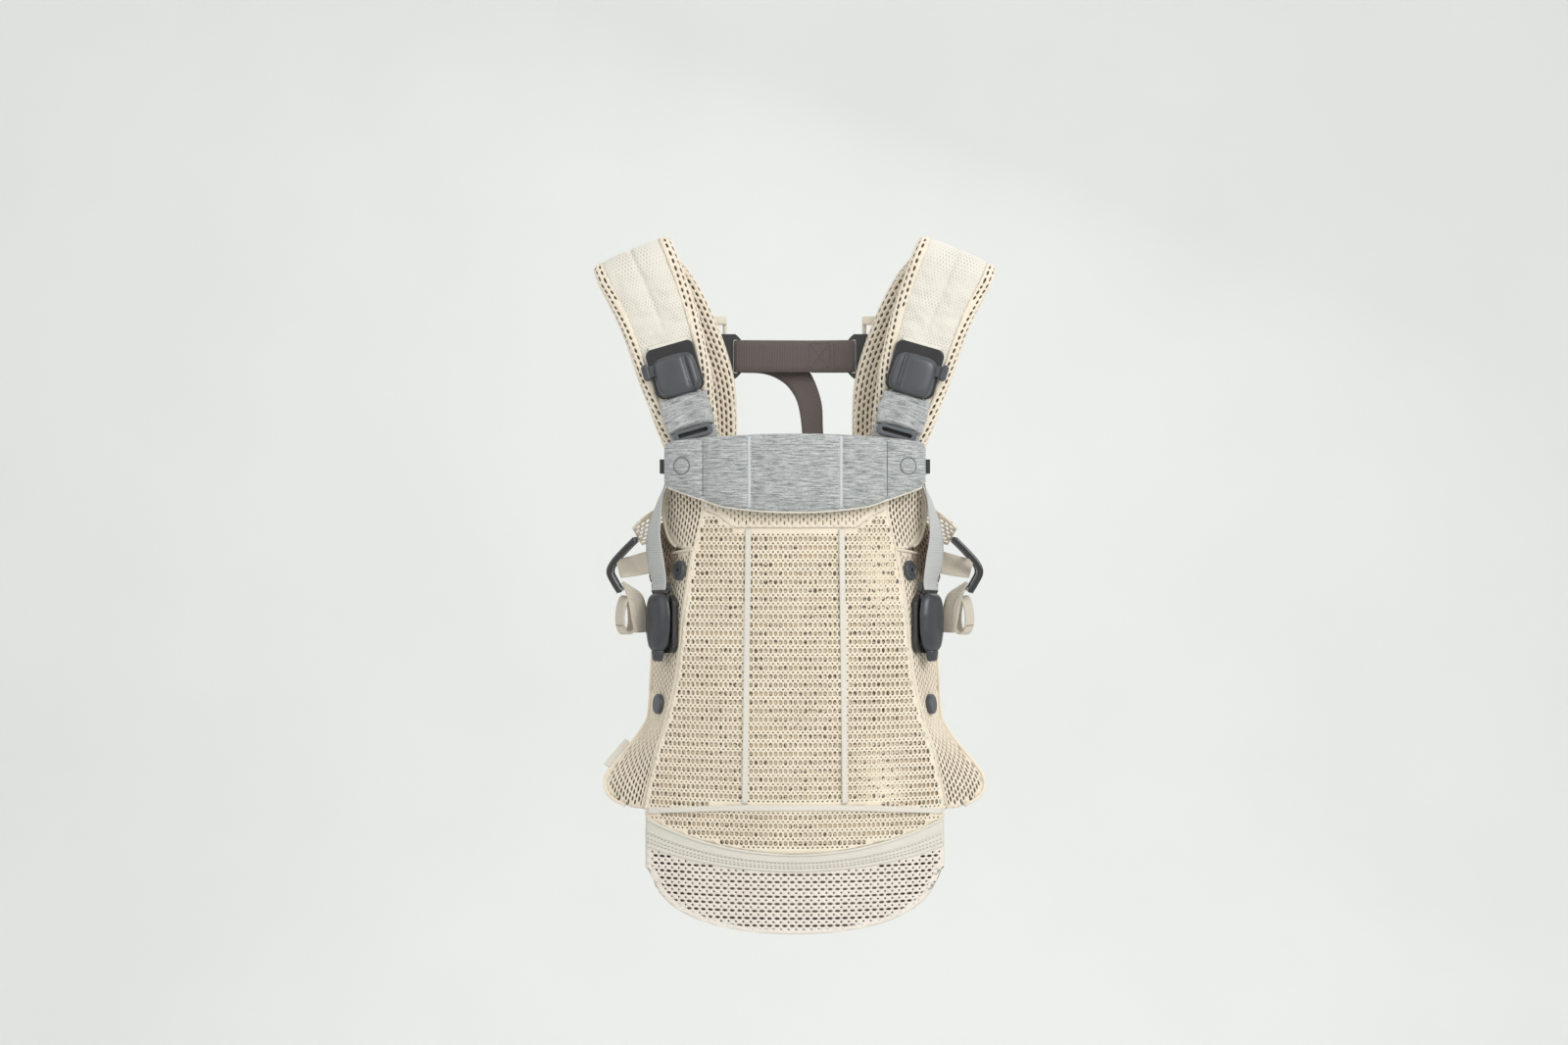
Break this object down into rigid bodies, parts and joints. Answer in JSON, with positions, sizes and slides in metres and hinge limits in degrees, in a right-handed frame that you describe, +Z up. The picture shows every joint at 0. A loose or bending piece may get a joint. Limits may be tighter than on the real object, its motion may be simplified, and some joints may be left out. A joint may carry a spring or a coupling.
{
  "type": "soft baby carrier",
  "caption": "Soft baby carrier with padded shoulder straps, slotted-mesh front panel and leg wings, folded head support, release buckles, cross strap and curved waist belt.",
  "frame": {"origin": "midway between the two strap crests, on the line where a hanger's shoulders carry them", "axes": "+Z up, -Y the front of the carrier, X across the shoulders; negative X is the left of the front view"},
  "size_m": [0.3682, 0.1436, 0.6372],
  "materials": {
    "open_mesh": "round-hole warp-knit spacer mesh",
    "coarse_mesh": "coarse slotted spacer mesh",
    "plain_knit": "fine pique knit",
    "foam": "covered foam",
    "jersey": "melange jersey",
    "tape": "woven tape",
    "grey_webbing": "ribbed webbing",
    "dark_webbing": "ribbed webbing",
    "slate_plastic": "satin moulded",
    "dark_plastic": "semi-gloss moulded",
    "metal_loop": "dark anodised",
    "snap_fabric": "jersey-covered cap"
  },
  "bodies": {
    "carrier": {"adjuster_webbing": "tape", "anchor_webbing": "tape", "belt_band": "plain_knit", "belt_buckle_housing": "slate_plastic", "belt_core": "foam", "belt_mesh": "coarse_mesh", "belt_tail_roll": "dark_webbing", "belt_webbing_left": "dark_webbing", "belt_wing_left": "coarse_mesh", "belt_wing_right": "coarse_mesh", "corner_tabs": "jersey", "finger_loop_left": "tape", "finger_loop_right": "tape", "front_buckle_bases": "dark_plastic", "front_buckle_covers": "slate_plastic", "front_panel": "open_mesh", "height_adjusters": "dark_plastic", "panel_lining": "plain_knit", "press_studs": "slate_plastic", "seat_gusset": "open_mesh", "side_buckle_backs": "dark_plastic", "side_buckle_covers": "slate_plastic", "snap_sockets": "slate_plastic", "strap_cores": "foam", "strap_face_left": "plain_knit", "strap_face_right": "plain_knit", "strap_mesh_left": "coarse_mesh", "strap_mesh_right": "coarse_mesh", "strap_rails": "tape", "strap_tails": "coarse_mesh", "top_band": "open_mesh", "upper_sides": "coarse_mesh", "wing_left": "coarse_mesh", "wing_right": "coarse_mesh", "woven_tapes": "tape"},
    "head_support": {"head_support_face": "jersey", "head_support_core": "foam", "head_support_snaps": "snap_fabric"},
    "front_button_left": {"front_buckle_button_left": "slate_plastic"},
    "front_button_right": {"front_buckle_button_right": "slate_plastic"},
    "front_tongue_left": {"front_buckle_tongue_left": "dark_plastic", "buckle_tab_left": "jersey", "tri_glide_left": "metal_loop"},
    "front_tongue_right": {"front_buckle_tongue_right": "dark_plastic", "buckle_tab_right": "jersey", "tri_glide_right": "metal_loop"},
    "side_button_left": {"side_buckle_button_left": "slate_plastic"},
    "side_button_right": {"side_buckle_button_right": "slate_plastic"},
    "side_tongue_left": {"side_buckle_tongue_left": "dark_plastic", "side_webbing_left": "grey_webbing"},
    "side_tongue_right": {"side_buckle_tongue_right": "dark_plastic", "side_webbing_right": "grey_webbing"},
    "side_adjuster_left": {"side_adjuster_left": "dark_plastic"},
    "side_adjuster_right": {"side_adjuster_right": "dark_plastic"},
    "cross_strap": {"cross_strap": "dark_webbing", "cross_strap_runners": "dark_plastic"},
    "belt_tongue": {"belt_buckle_tongue": "dark_plastic", "belt_webbing_right": "dark_webbing"},
    "belt_button": {"belt_buckle_button": "slate_plastic"}
  },
  "joints": [
    {"name": "head_support_fold", "type": "hinge", "parent": "carrier", "child": "head_support", "pos_m": [0, -0.06, -0.166], "axis": [-1, 0, 0], "range_deg": [0, 135]},
    {"name": "front_buckle_press_left", "type": "slide", "parent": "carrier", "child": "front_button_left", "axis": [0.9613, 0, 0.2756], "range_m": [0, 0.0023], "stiffness_N_per_m": 300},
    {"name": "front_buckle_release_left", "type": "slide", "parent": "carrier", "child": "front_tongue_left", "axis": [0.2756, 0, -0.9613], "range_m": [0, 0.014]},
    {"name": "side_buckle_press_left", "type": "slide", "parent": "carrier", "child": "side_button_left", "axis": [0.0002, 0.058, 0.9983], "range_m": [0, 0.0025], "stiffness_N_per_m": 300},
    {"name": "side_buckle_release_left", "type": "slide", "parent": "carrier", "child": "side_tongue_left", "axis": [0.0002, 0.058, 0.9983], "range_m": [0, 0.018]},
    {"name": "side_adjuster_tilt_left", "type": "hinge", "parent": "carrier", "child": "side_adjuster_left", "pos_m": [-0.1484, 0, -0.26], "axis": [0, 1, 0], "range_deg": [0, 30]},
    {"name": "front_buckle_press_right", "type": "slide", "parent": "carrier", "child": "front_button_right", "axis": [-0.9613, 0, 0.2756], "range_m": [0, 0.0023], "stiffness_N_per_m": 300},
    {"name": "front_buckle_release_right", "type": "slide", "parent": "carrier", "child": "front_tongue_right", "axis": [-0.2756, 0, -0.9613], "range_m": [0, 0.014]},
    {"name": "side_buckle_press_right", "type": "slide", "parent": "carrier", "child": "side_button_right", "axis": [-0.0002, 0.058, 0.9983], "range_m": [0, 0.0025], "stiffness_N_per_m": 300},
    {"name": "side_buckle_release_right", "type": "slide", "parent": "carrier", "child": "side_tongue_right", "axis": [-0.0002, 0.058, 0.9983], "range_m": [0, 0.018]},
    {"name": "side_adjuster_tilt_right", "type": "hinge", "parent": "carrier", "child": "side_adjuster_right", "pos_m": [0.1484, 0, -0.26], "axis": [0, -1, 0], "range_deg": [0, 30]},
    {"name": "cross_strap_height", "type": "slide", "parent": "carrier", "child": "cross_strap", "axis": [0, 0, 1], "range_m": [-0.022, 0.006]},
    {"name": "belt_buckle_release", "type": "slide", "parent": "carrier", "child": "belt_tongue", "axis": [1, 0, 0], "range_m": [0, 0.025]},
    {"name": "belt_buckle_press", "type": "slide", "parent": "carrier", "child": "belt_button", "axis": [0, -1, 0], "range_m": [0, 0.0025], "stiffness_N_per_m": 300}
  ]
}
